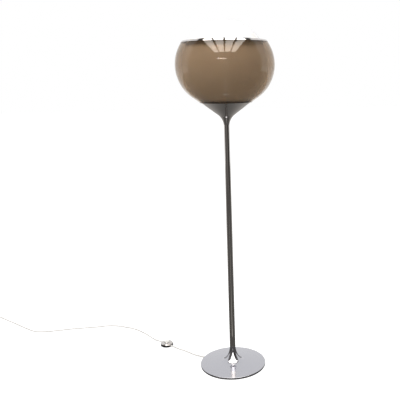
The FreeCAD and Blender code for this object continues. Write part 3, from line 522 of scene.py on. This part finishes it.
def coilPoint(sweep):
    layer = 360 * coil["turns"]
    outer = coil["diameter"] / 2 + coil["pitch"] * coil["turns"] / 2
    inner = coil["diameter"] / 2 - coil["pitch"] * coil["turns"] / 2
    rate = coil["pitch"] / 360
    climbed = min(max((sweep - layer) / 180, 0), 1)
    if sweep <= layer:
        radius = outer - rate * sweep
    elif sweep < layer + 180:
        radius = inner - rate * 180 * climbed * (1 - climbed)
    else:
        radius = inner + rate * (sweep - layer - 180)
    height = coil["height"] + coil["rise"] * (3 * climbed**2 - 2 * climbed**3)
    return Vector((*polar((coil["x"], coil["y"]), radius, coil["start"] + sweep), height))


def coilTail(sweep, diameters):
    way = (coilPoint(sweep + coil["nudge"]) - coilPoint(sweep - coil["nudge"])).normalized()
    return tuple(coilPoint(sweep) + way * 2 * cordLook["radius"] * diameters)


coilSweep = 720 * coil["turns"] + 180
coilTurns = [tuple(coilPoint(coil["step"] * i)) for i in range(int(coilSweep / coil["step"]) + 1)]

switchRoute = [
    outFromAxis(cordLook["tip"], cordLook["exitHeight"]),
    outFromAxis(cordLook["tip"] + 0.020, cordLook["exitHeight"]),
    (-0.197, 0.111, cordLook["floor"]),
    (-0.227, 0.140, cordLook["floor"]),
    (-0.262, 0.164, cordLook["floor"]),
    besideSwitch(-cordLook["sleeveTip"] - 0.022, cordLook["entryHeight"]),
    besideSwitch(-cordLook["sleeveTip"], cordLook["entryHeight"]),
]
mainsFloor = [
    (-0.386, 0.273), (-0.414, 0.312), (-0.456, 0.364), (-0.503, 0.409), (-0.559, 0.439), (-0.613, 0.460),
    (-0.656, 0.463), (-0.708, 0.451), (-0.777, 0.446), (-0.845, 0.439), (-0.893, 0.428), (-0.942, 0.420),
    (-0.985, 0.417), (-1.024, 0.426), (-1.060, 0.453), (-1.093, 0.481), (-1.129, 0.511), (-1.166, 0.545),
    (-1.212, 0.579), (-1.255, 0.619),
]
mainsRoute = [
    besideSwitch(cordLook["sleeveTip"], cordLook["entryHeight"]),
    besideSwitch(cordLook["sleeveTip"] + 0.018, cordLook["entryHeight"]),
]
mainsRoute += [(x, y, cordLook["floor"]) for x, y in mainsFloor]
mainsRoute += [coilTail(0, -5), coilTail(0, -1)]
mainsRoute += coilTurns
mainsRoute += [
    coilTail(coilSweep, 1),
    coilTail(coilSweep, 4),
    (-1.3430, 0.6845, cordLook["coilExit"]),
    (-1.3660, 0.6985, cordLook["floor"]),
    (-1.3920, 0.7095, cordLook["floor"]),
    (-1.4155, 0.7160, cordLook["plugHeight"]),
    (-1.4300, 0.7185, cordLook["plugHeight"]),
]


def cordPiece(name, points, *nodes):
    curve = bpy.data.curves.new(name, "CURVE")
    curve.dimensions = "3D"
    curve.bevel_depth = cordLook["radius"]
    curve.bevel_resolution = cordLook["bevel"]
    curve.use_fill_caps = True
    spline = curve.splines.new("NURBS")
    spline.points.add(len(points) - 1)
    for point, place in zip(spline.points, points):
        point.co = (*place, 1)
    spline.order_u = 3
    spline.use_endpoint_u = True
    spline.resolution_u = cordLook["resolution"]
    piece = bpy.data.objects.new(name, curve)
    bpy.context.scene.collection.objects.link(piece)
    curve.materials.append(finishes["cord_plastic"])
    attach(piece, "lamp")
    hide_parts(*nodes)
    return piece


switchLead = cordPiece("switch_lead", switchRoute, "switch_cord")
mainsLead = cordPiece("mains_lead", mainsRoute, "mains_cord", "mains_coil", "plug_cord")
print("cords done")

# camera at the photograph's place
shot = {
    "place": (0, -2.422, 1.281), "yaw": 0.05538, "pitch": 0.21215, "roll": -0.01555,
    "lens": 52.0, "sensor": 36, "shift": -0.15,
}
bpy.ops.object.camera_add(location=shot["place"])
camera = bpy.context.object
aim = Euler((math.pi / 2 - shot["pitch"], 0, -shot["yaw"])).to_matrix()
camera.rotation_euler = (aim @ Matrix.Rotation(shot["roll"], 3, "Z")).to_euler()
camera.data.lens = shot["lens"]
camera.data.sensor_width = shot["sensor"]
camera.data.shift_x = shot["shift"]
bpy.context.scene.camera = camera

# studio: white sweep, soft lamps, and cards that only metal and gloss see
studio = {
    "floorSize": 40, "floorColour": 0.50, "floorGlow": 0.78, "worldLevel": 0.66, "cardGap": 0.0003,
    "cardRadius": 4.2, "cardFoot": -0.1, "cardHeight": 4.6, "roof": 4.0,
    "groundTint": (1.0, 0.97, 0.93), "ceilingTint": (1.0, 0.96, 0.92), "wallTint": (1.0, 0.94, 0.89),
}


def seenDirectly(tree):
    # 1 for camera, glossy and transmission rays
    path = tree.nodes.new("ShaderNodeLightPath")
    first = tree.nodes.new("ShaderNodeMath")
    first.operation = "MAXIMUM"
    second = tree.nodes.new("ShaderNodeMath")
    second.operation = "MAXIMUM"
    tree.links.new(path.outputs["Is Camera Ray"], first.inputs[0])
    tree.links.new(path.outputs["Is Glossy Ray"], first.inputs[1])
    tree.links.new(first.outputs["Value"], second.inputs[0])
    tree.links.new(path.outputs["Is Transmission Ray"], second.inputs[1])
    return second.outputs["Value"]


def whiteWorld():
    world = bpy.data.worlds.new("whiteRoom")
    world.use_nodes = True
    tree = world.node_tree
    back = tree.nodes["Background"]
    back.inputs["Color"].default_value = (1, 1, 1, 1)
    level = tree.nodes.new("ShaderNodeMapRange")
    level.inputs["To Min"].default_value = studio["worldLevel"]
    level.inputs["To Max"].default_value = 1.0
    tree.links.new(seenDirectly(tree), level.inputs["Value"])
    tree.links.new(level.outputs["Result"], back.inputs["Strength"])
    bpy.context.scene.world = world


def whiteFloor():
    bpy.ops.mesh.primitive_plane_add(size=studio["floorSize"], location=(0, 0, 0))
    floor = bpy.context.object
    floor.name = "floor_sweep"
    material = bpy.data.materials.new("floorWhite")
    material.use_nodes = True
    tree = material.node_tree
    tree.nodes.remove(tree.nodes["Principled BSDF"])
    matte = tree.nodes.new("ShaderNodeBsdfDiffuse")
    matte.inputs["Color"].default_value = (studio["floorColour"],) * 3 + (1,)
    glow = tree.nodes.new("ShaderNodeEmission")
    level = tree.nodes.new("ShaderNodeMath")
    level.operation = "MULTIPLY"
    level.inputs[1].default_value = studio["floorGlow"]
    tree.links.new(seenDirectly(tree), level.inputs[0])
    tree.links.new(level.outputs["Value"], glow.inputs["Strength"])
    both = tree.nodes.new("ShaderNodeAddShader")
    tree.links.new(matte.outputs["BSDF"], both.inputs[0])
    tree.links.new(glow.outputs["Emission"], both.inputs[1])
    tree.links.new(both.outputs["Shader"], tree.nodes["Material Output"].inputs["Surface"])
    floor.data.materials.append(material)


def glowFinish(name, colour, strength):
    material = bpy.data.materials.new(name)
    material.use_nodes = True
    tree = material.node_tree
    tree.nodes.remove(tree.nodes["Principled BSDF"])
    glow = tree.nodes.new("ShaderNodeEmission")
    glow.inputs["Color"].default_value = (*colour, 1)
    glow.inputs["Strength"].default_value = strength
    tree.links.new(glow.outputs["Emission"], tree.nodes["Material Output"].inputs["Surface"])
    return material


def distanceGlow(name, colour, look):
    # brighter with the distance from the lamp's foot
    material = glowFinish(name, colour, look["dark"])
    tree = material.node_tree
    place = tree.nodes.new("ShaderNodeNewGeometry")
    length = tree.nodes.new("ShaderNodeVectorMath")
    length.operation = "LENGTH"
    rise = tree.nodes.new("ShaderNodeMapRange")
    rise.inputs["From Min"].default_value = look["start"]
    rise.inputs["From Max"].default_value = look["end"]
    rise.inputs["To Min"].default_value = look["dark"]
    rise.inputs["To Max"].default_value = look["light"]
    tree.links.new(place.outputs["Position"], length.inputs[0])
    tree.links.new(length.outputs["Value"], rise.inputs["Value"])
    tree.links.new(rise.outputs["Result"], tree.nodes["Emission"].inputs["Strength"])
    return material


def undersideGlow(name, colour, strength):
    # glows toward what lies below it and is clear from above
    material = glowFinish(name, colour, strength)
    tree = material.node_tree
    side = tree.nodes.new("ShaderNodeNewGeometry")
    clear = tree.nodes.new("ShaderNodeBsdfTransparent")
    both = tree.nodes.new("ShaderNodeMixShader")
    tree.links.new(side.outputs["Backfacing"], both.inputs["Fac"])
    tree.links.new(clear.outputs["BSDF"], both.inputs[1])
    tree.links.new(tree.nodes["Emission"].outputs["Emission"], both.inputs[2])
    tree.links.new(both.outputs["Shader"], tree.nodes["Material Output"].inputs["Surface"])
    return material


def onlyInGloss(card):
    card.visible_camera = False
    card.visible_diffuse = False
    card.visible_transmission = False
    card.visible_volume_scatter = False
    card.visible_shadow = False


def flatCard(name, low, high, height, material):
    centre = ((low[0] + high[0]) / 2, (low[1] + high[1]) / 2, height)
    bpy.ops.mesh.primitive_plane_add(size=1, location=centre)
    card = bpy.context.object
    card.name = name
    card.scale = (high[0] - low[0], high[1] - low[1], 1)
    card.data.materials.append(material)
    onlyInGloss(card)


def wallCard(name, start, end, level, low, high, radius):
    # an upright strip of the room behind the camera, from one direction to another
    first, last = polar((0, 0), radius, start), polar((0, 0), radius, end)
    height = high - low
    middle = ((first[0] + last[0]) / 2, (first[1] + last[1]) / 2, low + height / 2)
    bpy.ops.mesh.primitive_plane_add(size=1, location=middle)
    card = bpy.context.object
    card.name = name
    card.scale = (math.dist(first, last), height, 1)
    card.rotation_euler = (math.pi / 2, 0, math.radians((start + end) / 2 + 90))
    card.data.materials.append(glowFinish(name, studio["wallTint"], level))
    onlyInGloss(card)


room = {
    "grounds": [  # level, half width, nearest y, furthest y
        (0.115, 6.0, -6.0, 0.2),
        (0.50, 0.08, -3.0, -0.30),
    ],
    "behind": {
        "dark": 0.115, "light": 0.42, "start": 0.3, "end": 1.6, "side": 6.0, "near": 0.2, "far": 2.6,
    },
    "sheet": {"level": 4.0, "side": 0.24, "near": -3.0, "far": -0.05, "height": 0.25},
    "ceiling": {"level": 0.10, "side": 5.0, "near": -5.0, "far": 0.6, "height": 4.7},
    "walls": [  # start, end, level
        (-180, -150, 0.20), (-150, -120, 0.12), (-120, -99, 0.14), (-99, -81, 0.24),
        (-81, -60, 0.09), (-60, -30, 0.05), (-30, 0, 0.12),
    ],
    "rail": {"start": -108.0, "end": -88.0, "level": 9.0, "low": 2.38, "high": 2.62, "radius": 4.1},
    "window": {"x": 1.9, "near": -0.15, "far": -3.9, "bars": 3, "bar": 0.2, "strength": 6.4},
}


def darkRoom():
    for index, (level, side, near, far) in enumerate(room["grounds"]):
        name = "room_ground_" + str(index)
        glow = glowFinish(name, studio["groundTint"], level)
        flatCard(name, (-side, near), (side, far), studio["cardGap"] * (index + 1), glow)
    behind = room["behind"]
    glow = distanceGlow("roomBehind", studio["groundTint"], behind)
    low, high = (-behind["side"], behind["near"]), (behind["side"], behind["far"])
    flatCard("room_behind", low, high, studio["cardGap"], glow)
    ceiling = room["ceiling"]
    glow = glowFinish("roomCeiling", studio["ceilingTint"], ceiling["level"])
    low, high = (-ceiling["side"], ceiling["near"]), (ceiling["side"], ceiling["far"])
    flatCard("room_ceiling", low, high, ceiling["height"], glow)
    wall = {"low": studio["cardFoot"], "high": studio["cardHeight"], "radius": studio["cardRadius"]}
    for index, (start, end, level) in enumerate(room["walls"]):
        wallCard("room_wall_" + str(index), start, end, level, **wall)
    wallCard("room_rail", **room["rail"])
    sheet = room["sheet"]
    glow = undersideGlow("roomSheet", studio["groundTint"], sheet["level"])
    low, high = (-sheet["side"], sheet["near"]), (sheet["side"], sheet["far"])
    flatCard("room_sheet", low, high, sheet["height"], glow)
    window = room["window"]
    panes = window["bars"] + 1
    width = 2 * window["x"] / panes
    glow = glowFinish("roomWindow", studio["groundTint"], window["strength"])
    for index in range(panes):
        left = -window["x"] + width * index + window["bar"] / 2
        low, high = (left, window["far"]), (left + width - window["bar"], window["near"])
        flatCard("room_pane_" + str(index), low, high, studio["roof"], glow)


lamps = {
    "key": {"place": (-1.6, -2.0, 3.6), "size": 2.0, "energy": 95},
    "fill": {"place": (2.4, -1.2, 2.6), "size": 2.5, "energy": 22},
}


lampAim = Vector((0, 0, 0.8))


def softLamp(name, place, size, energy):
    bpy.ops.object.light_add(type="AREA", location=place)
    lamp = bpy.context.object
    lamp.name = name
    lamp.data.size = size
    lamp.data.energy = energy
    way = lampAim - Vector(place)
    lamp.rotation_euler = way.to_track_quat("-Z", "Y").to_euler()
    lamp.visible_glossy = False


whiteWorld()
whiteFloor()
darkRoom()
for name, values in lamps.items():
    softLamp(name, **values)
bpy.context.scene.view_settings.view_transform = "Standard"
print("studio done")
